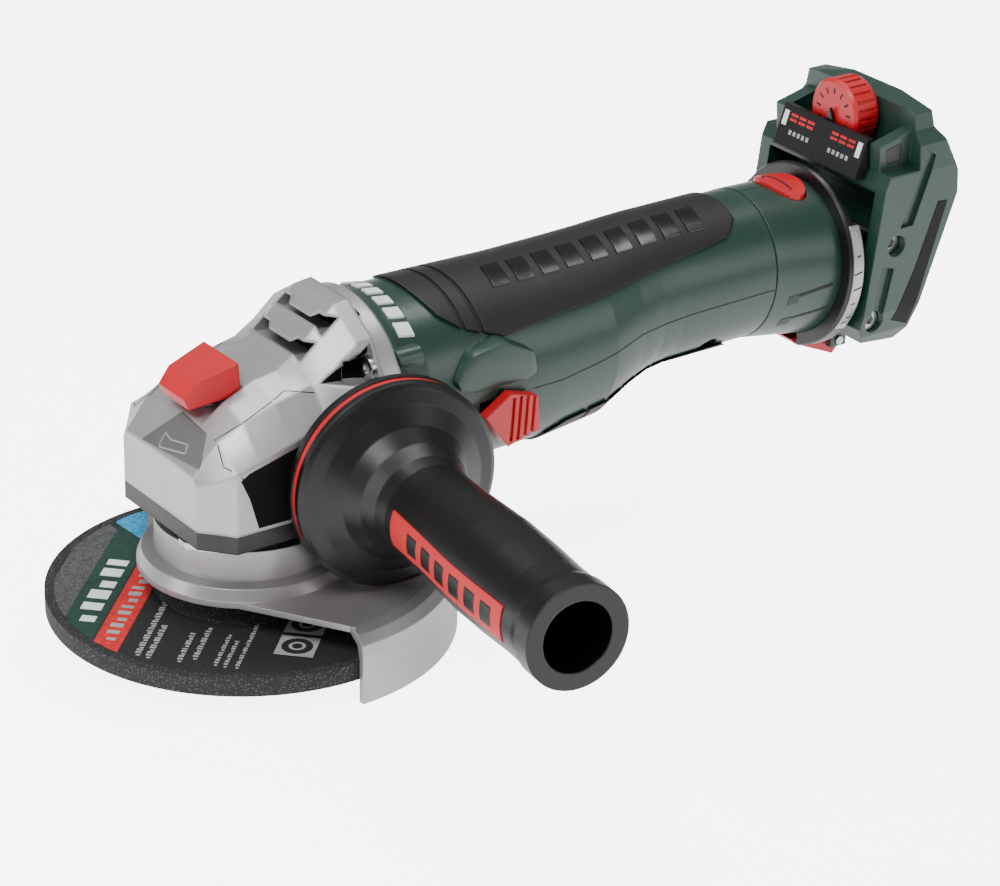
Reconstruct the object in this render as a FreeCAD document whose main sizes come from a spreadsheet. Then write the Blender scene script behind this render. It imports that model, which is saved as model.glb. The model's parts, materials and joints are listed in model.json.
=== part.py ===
import FreeCAD, Part
import math
import os
import re
import Sketcher
from FreeCAD import Placement, Rotation, Vector

# Cordless angle grinder for 125 mm discs.
# Millimetres. Origin: lower end of the spindle on its axis. +Z up the spindle,
# +X towards the battery foot, -Y on the side where the side handle is screwed in.

SIZES = [
    ("disc_diameter", 125), ("disc_bore", 22.23), ("disc_thick", 6), ("disc_low", 6), ("disc_step", 4),
    ("guard_gap", 1), ("guard_wall", 2), ("guard_low", -1), ("guard_top", 22.2), ("spigot_radius", 25),
    ("collar_top", 36.5), ("band_low", 40.3), ("band_top", 46), ("motor_height", 68),
    ("spindle_thread_radius", 7), ("spindle_length", 84), ("crown_teeth", 37), ("pinion_teeth", 10),
    ("gear_module", 1.1), ("gear_face", 6.5), ("head_front", -30.3), ("head_half", 31),
    ("lock_radius", 11.5), ("lock_travel", 3.6), ("handle_lean", 7), ("handle_rise", 0.7),
    ("handle_length", 108), ("handle_flange_radius", 33), ("handle_x", 25.7), ("handle_out", 46),
    ("handle_z", 56.5), ("wall", 2.5), ("pad_proud", 0.9), ("grip_radius", 24.85),
    ("tail_x", 187.3), ("tail_z", 76.9), ("tail_droop", 5.25), ("foot_half", 32), ("foot_tilt", 18.5),
    ("dial_radius", 11.5), ("dial_z", 121.5), ("slide_travel", 8), ("fit", 0.03),
]

doc = FreeCAD.newDocument("AngleGrinder")
sheet = doc.addObject("Spreadsheet::Sheet", "Sizes")
for row, (name, size) in enumerate(SIZES, 1):
    sheet.set("A%d" % row, name)
    sheet.set("B%d" % row, str(size))
    sheet.setAlias("B%d" % row, name)
doc.recompute()

NAMES = re.compile(r"\b(%s)\b" % "|".join(name for name, size in SIZES))
ORIGIN = Vector(0, 0, 0)
UP = Vector(0, 0, 1)
AFT = Vector(1, 0, 0)
SIDE = Vector(0, 1, 0)
PLANES = {
    "XY": Rotation(),
    "XZ": Rotation(AFT, 90),
    "YZ": Rotation(Vector(1, 1, 1), 120),
}
BADGE_TURN = 173
nodes = []


def linked(text):
    return NAMES.sub(r"Sizes.\1", str(text))


def value(text):
    return float(sheet.evalExpression(str(text)))


def vector(*texts):
    return Vector(*[value(t) for t in texts])


def bind(thing, prop, text):
    thing.setExpression(prop, linked(text))
    return thing


def named(thing, label):
    """Give a finished sub-part its node name and keep it for the export."""
    thing.Label = label
    nodes.append(thing)
    return thing


def move(thing, x=0, y=0, z=0):
    for axis, text in zip("xyz", (x, y, z)):
        bind(thing, "Placement.Base." + axis, text)
    return thing


def turn(thing, axis, text=None):
    """Rotate an object: from +Z to a direction, or by an angle about an axis."""
    thing.Placement.Rotation = Rotation(UP, axis) if text is None else Rotation(axis, value(text))
    return thing


def draw(sketch, points):
    """Close a straight-sided outline whose every corner is tied to the sizes."""
    corners = [Vector(value(a), value(b), 0) for a, b in points]
    count = len(corners)
    sketch.addGeometry([Part.LineSegment(corners[i], corners[(i + 1) % count]) for i in range(count)], False)
    sketch.addConstraint([Sketcher.Constraint("Coincident", i, 2, (i + 1) % count, 1) for i in range(count)])
    for i, pair in enumerate(points):
        for kind, text, number in zip(("DistanceX", "DistanceY"), pair, corners[i]):
            index = sketch.addConstraint(Sketcher.Constraint(kind, -1, 1, i, 1, number))
            bind(sketch, "Constraints[%d]" % index, text)
    return sketch


def outline(plane, points, offset=0):
    sketch = doc.addObject("Sketcher::SketchObject", "Outline")
    sketch.Placement = Placement(PLANES[plane].multVec(Vector(0, 0, value(offset))), PLANES[plane])
    return draw(sketch, points)


def slab(plane, points, depth, offset=0):
    """Outline pushed out evenly to both sides of its plane."""
    solid = doc.addObject("Part::Extrusion", "Slab")
    solid.Base = outline(plane, points, offset)
    solid.DirMode = "Normal"
    solid.Symmetric = True
    solid.Solid = True
    return bind(solid, "LengthFwd", depth)


def spun(rows, angle=360):
    """Outline of (radius, height) corners revolved about Z, angle in degrees."""
    solid = doc.addObject("Part::Revolution", "Spun")
    solid.Source = outline("XZ", rows)
    solid.Axis = UP
    solid.Solid = True
    return bind(solid, "Angle", angle)


def turned(label, rows, place=ORIGIN, axis=UP):
    """Body turned on a lathe from (radius, height) corners."""
    body = doc.addObject("PartDesign::Body", label)
    sketch = body.newObject("Sketcher::SketchObject", label + "_profile")
    plane = [item for item in body.Origin.OriginFeatures if item.Role == "XZ_Plane"][0]
    sketch.AttachmentSupport = [(plane, "")]
    sketch.MapMode = "FlatFace"
    draw(sketch, rows)
    round_ = body.newObject("PartDesign::Revolution", label + "_turned")
    round_.Profile = sketch
    round_.ReferenceAxis = (sketch, ["V_Axis"])
    round_.Angle = 360
    body.Tip = round_
    body.Placement = Placement(place, Rotation(UP, axis))
    return body


def rod(radius, length, place=ORIGIN, axis=UP):
    solid = doc.addObject("Part::Cylinder", "Rod")
    bind(solid, "Radius", radius)
    bind(solid, "Height", length)
    solid.Placement = Placement(place, Rotation(UP, axis))
    return solid


def box(x0, x1, y0, y1, z0, z1):
    solid = doc.addObject("Part::Box", "Block")
    bind(solid, "Length", "(%s)-(%s)" % (x1, x0))
    bind(solid, "Width", "(%s)-(%s)" % (y1, y0))
    bind(solid, "Height", "(%s)-(%s)" % (z1, z0))
    return move(solid, x0, y0, z0)


def shift(x, y, z):
    return Placement(vector(x, y, z), Rotation())


def brick(length, width, height, place):
    solid = doc.addObject("Part::Box", "Brick")
    for prop, text in (("Length", length), ("Width", width), ("Height", height)):
        bind(solid, prop, text)
    solid.Placement = place
    return solid


def cut(base, *tools):
    for tool in tools:
        step = doc.addObject("Part::Cut", "Cut")
        step.Base = base
        step.Tool = tool
        step.Refine = False
        base = step
    return base


def joined(*parts):
    whole = doc.addObject("Part::MultiFuse", "Joined")
    whole.Shapes = list(parts)
    return whole


def shared(*parts):
    whole = doc.addObject("Part::MultiCommon", "Shared")
    whole.Shapes = list(parts)
    whole.Refine = False
    return whole


def group(label, parts):
    """Separate equal pieces kept side by side in one node."""
    whole = doc.addObject("Part::Compound", label)
    whole.Links = parts
    return named(whole, label)


def around(count, radius, first=0):
    """Evenly spaced points on a circle about the spindle."""
    spots = []
    for k in range(count):
        angle = math.radians(first + 360.0 * k / count)
        spots.append((radius * math.cos(angle), radius * math.sin(angle)))
    return spots


def mirrored(half):
    """Full outline from its right half, listed from bottom to top."""
    return half + [("-(%s)" % a, b) for a, b in reversed(half)]


# ---------------------------------------------------------------- spindle and disc
nose = "spindle_thread_radius"
named(turned("spindle", [
    (0, -0.9), (nose + "-1.1", -0.9), (nose + "-0.4", -0.2), (nose + "-0.4", 2.3), (nose, 2.3), (nose, 21), (9.5, 21), (9.5, 28), (6, 28), (6, 60),
    (4, 60), (4, "spindle_length"), (0, "spindle_length"),
]), "spindle")
bore = "disc_bore/2"
hub_low = "disc_low+disc_step"
hub_top = "disc_low+disc_step+disc_thick"
rim = "disc_diameter/2"
named(turned("disc_bush", [
    (bore, hub_low), (bore + "+1.5", hub_low), (bore + "+1.5", hub_top), (bore, hub_top),
]), "disc_bush")
named(turned("grinding_disc", [
    (bore + "+1.5+fit", hub_low), (22, hub_low), (27, "disc_low"), (rim, "disc_low"),
    (rim, "disc_low+disc_thick"), (29, "disc_low+disc_thick"), (24, hub_top), (bore + "+1.5+fit", hub_top),
]), "grinding_disc")
named(turned("backing_flange", [
    (nose + "+fit", hub_low + "+0.6"), (bore + "-0.05", hub_low + "+0.6"), (bore + "-0.05", hub_top),
    (20, hub_top), (20, hub_top + "+2.5"), (13, 21), (nose + "+fit", 21),
]), "backing_flange")
nut = spun([(nose + "+fit", 2.5), (13, 2.5), (17, 5), (17, hub_low), (nose + "+fit", hub_low)])
pin_holes = [move(rod(2.5, 4), "%.6f" % x, "%.6f" % y, 2) for x, y in around(4, 12.5, 45)]
named(cut(nut, *pin_holes), "clamp_nut")

# ---------------------------------------------------------------- bevel gears
TEETH = {"crown": int(value("crown_teeth")), "pinion": int(value("pinion_teeth"))}
crown_pitch = value("gear_module*crown_teeth/2")
pinion_pitch = value("gear_module*pinion_teeth/2")
cone = math.hypot(crown_pitch, pinion_pitch)
inner = (cone - value("gear_face")) / cone
rise = 0.75 * value("gear_module")
depth = 1.2 * value("gear_module")
lean = Vector(-pinion_pitch / cone, 0, crown_pitch / cone)
apex = vector(0, 0, "motor_height")


def tooth(pitch_point, outward, sideways):
    """One straight bevel tooth: outer section scaled down towards the apex of the cone."""
    half = value("gear_module") * math.pi / 4
    sections = []
    for scale in (1, inner):
        corners = []
        for height, share in ((-depth * 1.15, 0.98), (rise, 0.38)):
            for sign in (-1, 1):
                corners.append((pitch_point + outward * height + sideways * (sign * half * share)) * scale)
        corners[2], corners[3] = corners[3], corners[2]
        sections.append(Part.makePolygon(corners + corners[:1]))
    return Part.makeLoft(sections, True, True)


def toothed(label, blank, shape, axis, start, count):
    teeth = []
    for k in range(count):
        copy = shape.copy()
        copy.rotate(ORIGIN, axis, start + 360.0 * k / count)
        copy.translate(apex)
        teeth.append(copy)
    gear = doc.addObject("Part::Feature", label)
    gear.Shape = blank.multiFuse(teeth).removeSplitter()
    return named(gear, label)


def ring(rows, place, axis):
    """Solid of revolution from plain numbers, for the gear blanks."""
    wire = Part.makePolygon([Vector(r, 0, h) for r, h in rows + rows[:1]])
    solid = Part.Face(wire).revolve(ORIGIN, UP, 360)
    solid.Placement = Placement(place, Rotation(UP, axis))
    return solid


root = Vector(crown_pitch, 0, -pinion_pitch) - lean * depth
high = apex.z
blank = ring([
    (6 + value("fit"), 46.5), (9, 46.5), (9, 54), (21.2, 54), (21.2, 60), (root.x, high + root.z),
    (root.x * inner, high + root.z * inner), (root.x * inner, 59), (6 + value("fit"), 59),
], ORIGIN, UP)
lock_holes = [Part.makeCylinder(2.3, 6, Vector(x, y, 53.5)) for x, y in around(12, value("lock_radius"), 180)]
crown_tooth = tooth(Vector(crown_pitch, 0, -pinion_pitch), lean, SIDE)
toothed("crown_gear", blank.cut(lock_holes), crown_tooth, UP, 0, TEETH["crown"])
root = Vector(crown_pitch, 0, -pinion_pitch) + lean * depth
blank = ring([
    (2.5 + value("fit"), 28), (2.5 + value("fit"), 33), (4, 33), (4, 24.6), (5.6, 24.6), (5.6, 21.4),
    (-root.z, root.x), (-root.z * inner, root.x * inner), (0, root.x * inner), (0, 28),
], apex, AFT)
pinion_tooth = tooth(Vector(crown_pitch, 0, -pinion_pitch), lean * -1, SIDE)
toothed("pinion_gear", blank, pinion_tooth, AFT, 180.0 / TEETH["pinion"], TEETH["pinion"])

# ---------------------------------------------------------------- bearings


def bearing(label, radius, outer, low, width, place=ORIGIN, axis=UP):
    rows = [(radius + "+fit", low), (outer, low), (outer, "%s+%s" % (low, width)),
            (radius + "+fit", "%s+%s" % (low, width))]
    return named(turned(label, rows, place, axis), label)


bearing("spindle_ball_bearing", "6", 16, "28", 10)
bearing("spindle_needle_bearing", "4", 6, "74", 9.5)
bearing("rotor_front_bearing", "4", 11, "25", 7, apex, AFT)
bearing("rotor_rear_bearing", "4", 8, "91.5", 5, apex, AFT)

# ---------------------------------------------------------------- guard
skirt_in = "disc_diameter/2+guard_gap"
skirt = "disc_diameter/2+guard_gap+guard_wall"
under = "guard_top-guard_wall"
collar = spun([
    ("spigot_radius+0.06", 24.6), (29, 24.6), (29, under), (34, under), (34, "guard_top"), (32.5, 25.8),
    (28.5, 26.6), (28.5, "collar_top"), ("spigot_radius+0.06", "collar_top"),
])
half_skirt = turn(spun([
    (32, under), (58.5, under), (62.2, "guard_top-4.5"), (skirt_in, 13), (skirt_in, "guard_low"),
    (skirt, "guard_low"), (skirt, 15), (skirt + "-0.6", 18.2), (skirt + "-3.2", "guard_top-1.2"),
    (59, "guard_top"), (32, "guard_top"),
], 180), UP, -90)
apron = slab("XY", [(1, -60), (1, 60), (-21, 26), (-21, -26)], "guard_wall", "guard_top-guard_wall/2")
apron = cut(apron, rod(32.2, 60))
slots = [turn(box(26.5, 30, -3.5, 3.5, 32.5, 35.5), UP, angle) for angle in (-97, -167, -27, 43, 113)]
guard = cut(joined(collar, half_skirt, apron), *slots)
named(guard, "wheel_guard")
named(turned("guard_ring", [
    ("spigot_radius-1.2", 22.6), (28, 22.6), (28, 24.2), ("spigot_radius-1.2", 24.2),
]), "guard_ring")

# ---------------------------------------------------------------- bearing cover
half_plan = [("head_front", 21.4), (-22, "head_half"), (20, "head_half"), (27.5, 24)]
plan = half_plan + [(a, "-(%s)" % b) for a, b in reversed(half_plan)]
band = slab("XY", plan, "band_top-band_low", "(band_low+band_top)/2")
neck = spun([
    (10.2, 22), (24.8, 22), (24.8, 22.5), ("spigot_radius-1.3", 22.5), ("spigot_radius-1.3", 24.3),
    ("spigot_radius", 24.3), ("spigot_radius", "band_low+1"), (16.02, "band_low+1"), (16.02, 28), (10.2, 28),
])
SCREWS = [(-20, 23.5), (-20, -23.5), (16, 26), (16, -26)]
cover = joined(cut(band, rod(16.02, 60)), neck)
cover = cut(cover, *[move(rod(2.1, 20), x, y, 38) for x, y in SCREWS])
cover = cut(cover, *[move(rod(3.8, 2.5), x, y, 40) for x, y in SCREWS])
latch_hole = move(rod(1.52, 6), -27.2, -12.7, 38)
named(cut(cover, latch_hole), "bearing_cover")


def screw(shank, length, head, thick, place, axis):
    """Cap screw with a six-sided socket; the head sits behind the given point."""
    whole = spun([
        (0, 0), (shank, 0), (shank, length), (head, length), (head, "%s+%s" % (length, thick)),
        (0, "%s+%s" % (length, thick)),
    ])
    whole.Placement = Placement(place, Rotation(UP, axis))
    socket = doc.addObject("Part::Prism", "Socket")
    socket.Polygon = 6
    bind(socket, "Circumradius", "%s*0.5" % head)
    bind(socket, "Height", thick)
    socket.Placement = whole.Placement.multiply(Placement(Vector(0, 0, length + 0.4 * thick), Rotation()))
    return cut(whole, socket)


group("cover_screws", [screw(2, 13, 3.5, 2, Vector(x, y, 55.3), UP * -1) for x, y in SCREWS])

# ---------------------------------------------------------------- gear housing


def section(x, half):
    """Twelve-sided cross-section of the gear head at a distance along the tool."""
    wire = doc.addObject("Sketcher::SketchObject", "Section")
    wire.Placement = Placement(Vector(x, 0, 0), PLANES["YZ"])
    return draw(wire, mirrored(half))


def ruled(sections):
    solid = doc.addObject("Part::Loft", "Skin")
    solid.Sections = sections
    solid.Solid = True
    solid.Ruled = True
    return solid


low = "band_top"
full = "head_half"
nosepiece = ruled([
    section(value("head_front"), [(8, low), (21.4, low), (21.4, 61), (20, 63.3), (8, 63.8)]),
    section(-26, [(10, low), (26.2, low), (26.2, 63.4), (20, 68.4), (9, 69.6)]),
    section(-22, [(12, low), (full, low), (full, 66.2), (20.5, 73.2), (10, 75)]),
    section(-14, [(12, low), (full, low), (full, 68.6), (21.5, 77.6), (11, 80.6)]),
    section(-3, [(12, low), (full, low), (full, 71.8), (22, 81.6), (11, 85.4)]),
    section(4, [(12, low), (full, low), (full, 73.8), (22, 83.2), (11, 86.4)]),
    section(10, [(12, low), (full, low), (full, 75), (22, 84.6), (11, 90)]),
    section(17, [(12, low), (31.6, low), (32, 76.4), (22.4, 88.6), (11, 96.6)]),
    section(25, [(12, low), (32.6, low), (33, 78), (23, 95), (10.5, 103)]),
    section(30.5, [(12, low), (33, low), (34, 78), (23.4, 95.6), (10.5, 103.6)]),
])
drum = spun([(0, 29.5), (33.4, 29.5), (34.1, 31), (34.1, 36.6), (33.5, 37.4), (0, 37.4)])
drum.Placement = Placement(apex, Rotation(UP, AFT))
lean_y = value("sin(handle_lean)*cos(handle_rise)")
out_y = value("cos(handle_lean)*cos(handle_rise)")
out_z = value("sin(handle_rise)")
OUT = {side: Vector(-lean_y, side * out_y, out_z) for side in (-1, 1)}
FACE = {side: vector("handle_x", "%d*handle_out" % side, "handle_z") for side in (-1, 1)}
bosses = [rod(13.5, 8, FACE[s] - OUT[s] * 20, OUT[s]) for s in (-1, 1)]
sockets = [rod(4, 14.5, FACE[s] - OUT[s] * 26, OUT[s]) for s in (-1, 1)]
head = joined(nosepiece, drum, *bosses)
cavity = spun([(0, 40), (24, 40), (24, 65.5), (0, 65.5)])
tunnel = rod(7.4, 25, apex, AFT)
seat = rod(11.02, 8, apex + AFT * 25, AFT)
bell = rod(30.6, 8, apex + AFT * 31.98, AFT)
top_seat = move(rod(6.02, 10.4), 0, 0, 74)
spindle_way = move(rod(5, 10), 0, 0, 65)
pin_way = move(rod(2.03, 40), "-lock_radius", 0, 56)
spring_well = move(rod(4.2, 12), "-lock_radius", 0, "motor_height+4")
button_pocket = slab("XZ", [(-24.6, 75.2), (-24.6, 92), (-7, 92), (-7, 77)], 21)
head = cut(head, cavity, tunnel, seat, bell, top_seat, spindle_way, pin_way, spring_well, button_pocket)
head = cut(head, box(-45, 29.4, -50, 50, 20, "band_top"), *sockets)
head = cut(head, *[move(rod(2.02, 15), x, y, 42) for x, y in SCREWS])
zigzag = [(-14, 1.5), (-8, 1.5), (-6, 0), (6, 0), (8, 1.5), (14, 1.5)]
for x, z in ((14.5, 87), (22.5, 93.5)):
    edge = [(y, z + d) for y, d in zigzag]
    vent = slab("YZ", edge + [(y, b + 5.2) for y, b in reversed(edge)], 14, x + 3)
    head = cut(head, vent)
for sign in (-1, 1):
    recess = slab("XZ", [(12, 84.8), (29.5, 94.5), (29.5, 82.4)], 9, "%d*-27.5" % sign)
    head = cut(head, recess)
HEAD_SCREWS = [(24.5, 86.5), (-24.5, 86.5), (16.5, 41.8), (-16.5, 41.8)]
seats = [rod(2.52, 20, Vector(29, y, z), AFT) for y, z in HEAD_SCREWS]
seats += [rod(3.9, 9.5, Vector(20, y, z), AFT) for y, z in HEAD_SCREWS[:2]]
rear_limit = box(37.4, 50, -45, 45, 20, 120)
named(cut(head, rear_limit, *seats), "gear_housing")
group("head_screws", [screw(2.5, 16, 3.6, 1.8, Vector(45.5, y, z), AFT * -1) for y, z in HEAD_SCREWS])

# ---------------------------------------------------------------- spindle lock
button = slab("XZ", [(-24.2, 79.2), (-25.6, 82.6), (-21.6, 87.4), (-8.2, 91.4), (-7.6, 83.2), (-11.5, 80.9)], 20)
button_plan = slab("XY", [(-27, -7.4), (-27, 7.4), (-7.4, 10), (-7.4, -10)], 30, 90)
named(shared(button, button_plan), "lock_button")
named(turned("lock_pin", [
    (0, 60.2), (1.5, 60.2), (1.9, 60.7), (1.9, 80.5), (0, 80.5),
], Vector(-value("lock_radius"), 0, 0)), "lock_pin")


def spring(label, radius, wire, length, turns, place):
    coil = doc.addObject("Part::Helix", "Coil")
    bind(coil, "Radius", radius)
    bind(coil, "Height", length)
    bind(coil, "Pitch", "(%s)/%s" % (length, turns))
    ring_ = doc.addObject("Part::Circle", "Wire")
    bind(ring_, "Radius", wire)
    ring_.Placement = Placement(Vector(value(radius), 0, 0), PLANES["XZ"])
    swept = doc.addObject("Part::Sweep", label)
    swept.Sections = [ring_]
    swept.Spine = coil
    swept.Solid = True
    swept.Frenet = True
    swept.Placement.Base = place
    return named(swept, label)


spring("lock_spring", 3.1, 0.4, 7, 5, Vector(-value("lock_radius"), 0, value("motor_height") + 4.6))

# ---------------------------------------------------------------- guard latch
lever = slab("XY", [
    (-30.2, -10.4), (-24.6, -11.6), (-23.5, -15.2), (-20.6, -18.6), (-23.6, -22.4), (-27.6, -18.4), (-30.2, -14),
], 2, 38.6)
lever = cut(lever, move(rod(1.55, 6), -27.2, -12.7, 36))
named(lever, "guard_latch")
named(move(turned("guard_latch_pin", [
    (0, 36.85), (2.6, 36.85), (2.6, 37.5), (1.5, 37.5), (1.5, 43.9), (0, 43.9),
]), -27.2, -12.7, 0), "guard_latch_pin")

# ---------------------------------------------------------------- side handle
grip_axis = OUT[-1]
base_point = FACE[-1]
flange = "handle_flange_radius"
end = "handle_length"


def on_handle(label, rows):
    return named(turned(label, rows, base_point, grip_axis), label)


on_handle("handle_back_plate", [
    (4.06, -11.9), (14, -11.9), (14, -10.4), (22, -8.6), (flange, -8.6), (flange, -6.1), (4.06, -6.1),
])
on_handle("handle_damper_ring", [
    (4.06, -6.1), (flange + "-0.4", -6.1), (flange + "-0.4", -3.6), (4.06, -3.6),
])
grip = spun([
    (4.06, -3.6), (flange, -3.6), (flange, -1.4), (flange + "-1.6", -0.2), (27, 1.2), (21.5, 5), (18, 10),
    (16, 15), (15.1, 20), (15, 26), (15.6, 42), (16.4, 60), (16.2, 75), (15.6, 90), (15.7, 98), (16.3, 101),
    (16.3, end), (11, end), (11, end + "-60"), (4.06, end + "-60"),
])
grip.Placement = Placement(base_point, Rotation(UP, grip_axis))
around_grip = Placement(ORIGIN, Rotation(UP, BADGE_TURN))
badge_block = brick(8, 11.2, 68, grip.Placement.multiply(around_grip).multiply(shift(13.6, -5.6, 24)))
badge_skin = spun([(14.6, 20), (15.4, 20), (15.6, 42), (16.5, 60), (16.4, 75), (15.8, 96), (14.6, 96)])
badge_skin.Placement = grip.Placement
badge = shared(badge_skin, badge_block)
grip = cut(grip, badge)
named(grip, "handle_grip")
named(badge, "handle_badge")
on_handle("handle_stud", [
    (0, -25), (3.4, -25), (3.96, -24.2), (3.96, 26), (0, 26),
])

# ---------------------------------------------------------------- motor housing
tail_axis = Vector(value("cos(tail_droop)"), 0, value("-sin(tail_droop)"))
tail_start = vector("tail_x", 0, "tail_z")
TAIL = Placement(tail_start, Rotation(UP, tail_axis))
MOTOR = Placement(apex, Rotation(UP, AFT))
RINGS = [
    (37.6, 68, 33.4), (40, 68, 32.6), (48, 68, 31.5), (97, 68.6, 30.3), (120, 70.3, 29.2), (133, 73.9, 26.4),
    (142, 75.9, 25.1), (150, 76.65, 24.7), ("tail_x", "tail_z", "grip_radius"),
]


def skin(offset, stretch=0):
    """Round shell of the motor and grip, offset outwards; ends moved out by the stretch."""
    sections = []
    for i, (x, z, radius) in enumerate(RINGS):
        circle = doc.addObject("Part::Circle", "Ring")
        bind(circle, "Radius", "%s+(%s)" % (radius, offset))
        last = i == len(RINGS) - 1
        way = tail_axis if last else AFT
        push = stretch if last else (-stretch if i == 0 else 0)
        circle.Placement = Placement(vector(x, 0, z) + way * push, Rotation(UP, way))
        sections.append(circle)
    return ruled(sections)


def rib(inner, outer, start, finish):
    solid = spun([(inner, start), (outer, start), (outer, finish), (inner, finish)])
    solid.Placement = MOTOR
    return solid


POSTS = [(121, 19, 54), (121, -19, 54), (166, 16, 62), (166, -16, 62)]
ribs = [rib(23.52, 29, 58, 60), rib(23.52, 29, 78, 80), rib(24.03, 28.5, 89, 91.5)]
posts = [shared(skin(-1), move(rod(4, 80), x, y, 30)) for x, y, z in POSTS]
rod_way = box(55, 101, -27.2, -23.3, 60.5, 69.5)
ribs = cut(joined(*ribs), rod_way)
lobes = [rod(3.8, 8.8, Vector(37.6, y, z), AFT) for y, z in HEAD_SCREWS]
shell = joined(cut(skin(0), skin("-wall", 0.5)), ribs, *posts, *lobes)
slot = box(65.4, 80.6, -34, -26, 61.8, 68.2)
shell = cut(shell, slot, *[move(rod(1.82, 40), x, y, 52) for x, y, z in POSTS])
shell = cut(shell, *[move(rod(3.6, 42.05), x, y, z - 40) for x, y, z in POSTS])
shell = cut(shell, *[rod(2.52, 8.2, Vector(37.5, y, z), AFT) for y, z in HEAD_SCREWS])
top_region = slab("XZ", [
    (54, 101), (58, 94.5), (64, 90.5), (78, 86), (115, 89), (172, 95.5), (178, 99), (180, 112), (52, 112),
], 80)
low_region = slab("XZ", [(98, 30), (98, 46), (104, 50), (130, 54.5), (172, 57.5), (178, 54), (178, 30)], 80)
GROOVES = [("top", 64), ("top", 70), ("low", 112), ("low", 120), ("low", 128), ("low", 136), ("low", 144)]


def pad(label, region, side, edge):
    """Rubber skin let into the housing, with shallow cross grooves."""
    proud = shared(cut(skin("pad_proud"), skin(-1)), region)
    lines = [box(x, x + 1.4, -40, 40, *edge) for where, x in GROOVES if where == side]
    shallow = skin(0.1)
    lines = [cut(line, shallow) for line in lines]
    return named(cut(proud, *lines), label)


pad("grip_pad_top", top_region, "top", (84, 120))
pad("grip_pad_bottom", low_region, "low", (20, 56))
SEAM = [(30, 68), (97, 68), (112, 70), (131, 74), (156, 75.4), (200, 76.4)]
upper = slab("XZ", SEAM + [(200, 130), (30, 130)], 90)
lower = slab("XZ", SEAM + [(200, 20), (30, 20)], 90)
for label, half, region in (("upper_housing", upper, top_region), ("lower_housing", lower, low_region)):
    recess = shared(cut(skin(3), skin(-1.02)), region)
    named(cut(shared(shell, half), recess), label)
group("housing_screws", [screw(1.8, 22, 3.4, 2, Vector(x, y, z + 24), UP * -1) for x, y, z in POSTS])

# ---------------------------------------------------------------- motor
named(turned("rotor_shaft", [
    (0, -39.5), (2.5, -39.5), (2.5, -33.5), (4, -33.5), (4, 31.5), (0, 31.5),
], apex + AFT * 68, AFT), "rotor_shaft")
named(turned("rotor_core", [(4.03, 53.5), (12.3, 53.5), (12.3, 83.5), (4.03, 83.5)], apex, AFT), "rotor_core")
stator = rib(12.9, 23.5, 52, 85)
COILS = around(6, 18, 30)
channels = [rod(4, 40, apex + Vector(50, x, y), AFT) for x, y in COILS]
named(cut(stator, *channels), "motor_stator")
group("motor_windings", [rod(3.95, 37.6, apex + Vector(49.8, x, y), AFT) for x, y in COILS])
named(turned("motor_end_plate", [
    (4.6, 89), (24, 89), (24, 91.4), (11, 91.4), (11, 96.4), (8.03, 96.4), (8.03, 91.4), (4.6, 91.4),
], apex, AFT), "motor_end_plate")
hub = rib(4.03, 7, 38.2, 45.5)
disc = rib(6, 26.5, 38.2, 39.8)
blades = []
for k in range(12):
    around_hub = Placement(ORIGIN, Rotation(UP, 30 * k))
    blades.append(brick(19, 1.3, 6.4, MOTOR.multiply(around_hub).multiply(shift(6.5, -0.65, 39.1))))
named(joined(hub, disc, *blades), "cooling_fan")
named(turned("fan_baffle", [(15, 46.6), (28.7, 46.6), (28.7, 48.4), (15, 48.4)], apex, AFT), "fan_baffle")

# ---------------------------------------------------------------- slide switch
thumb = slab("XZ", [(64.5, 65), (74, 71), (84, 68), (85, 56.5), (73, 53.4)], 10.5, 30.5)
ROUND = rod(31.95, 60, Vector(40, 0, 68.2), AFT)
grooves = [turn(box(-0.6, 0.6, -37, -34.6, -6, 8.5), SIDE, 4) for x in range(4)]
for k, groove in enumerate(grooves):
    move(groove, 73.4 + 2.6 * k, -37, 55)
stem = box(73.5, 80, -32.6, -26.2, 62.2, 67.8)
named(joined(cut(thumb, ROUND, *grooves), stem), "slide_switch")
named(box(70, 100, -26.2, -24.7, 62, 68), "switch_rod")
named(box(101.5, 116, -22, -9, 62, 78), "switch_module")
named(box(126, 161, -14, 14, 64.5, 83), "control_module")

# ---------------------------------------------------------------- tail with the battery foot


def on_tail(rows, angle=360, first=0):
    solid = spun(rows, angle)
    solid.Placement = TAIL.multiply(Placement(ORIGIN, Rotation(UP, first)))
    return solid


named(turned("swivel_ring", [
    (17, -4), ("grip_radius-wall-0.5", -4), ("grip_radius-wall-0.5", -0.6), (19.5, -0.6), (19.5, 9.5),
    (20.6, 9.5), (20.6, 11.3), (17, 11.3),
], tail_start, tail_axis), "swivel_ring")
half_foot = [(20, 48), (28, 48), (30.5, 53), ("foot_half", 61), ("foot_half", 108), (31, 117), (28, 121.5),
             (27, 127), (12, 129.6)]
foot = shared(slab("XZ", [
    (219.5, 56), (222, 50.4), (237, 48.6), (241, 52), (244, 60), (258, 98), (257.5, 106), (252, 118), (249, 121.5),
    (248, 130), (241, 127.6), (240.6, 109), (228, 109), (226, 104.5),
], 80), slab("YZ", mirrored(half_foot), 80, 240))
wing = [(228, 104), (227, 117.8), (240.7, 121.2), (240.7, 104)]
wings = [slab("XZ", wing, 5, "%d*24" % sign) for sign in (-1, 1)]
barrel = on_tail([(0, 0.35), ("grip_radius+0.15", 0.35), (26.5, 25.5), (26.5, 36), (0, 36)])
hollow = on_tail([(0, -1), (19.58, -1), (19.58, 9.1), (23, 9.1), (24, 25), (24, 34), (0, 34)])
pin_lugs = [box(225, 231.4, "%s" % y, "%s+2.6" % y, 41.4, 51) for y in (8.6, -11.2)]
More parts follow.
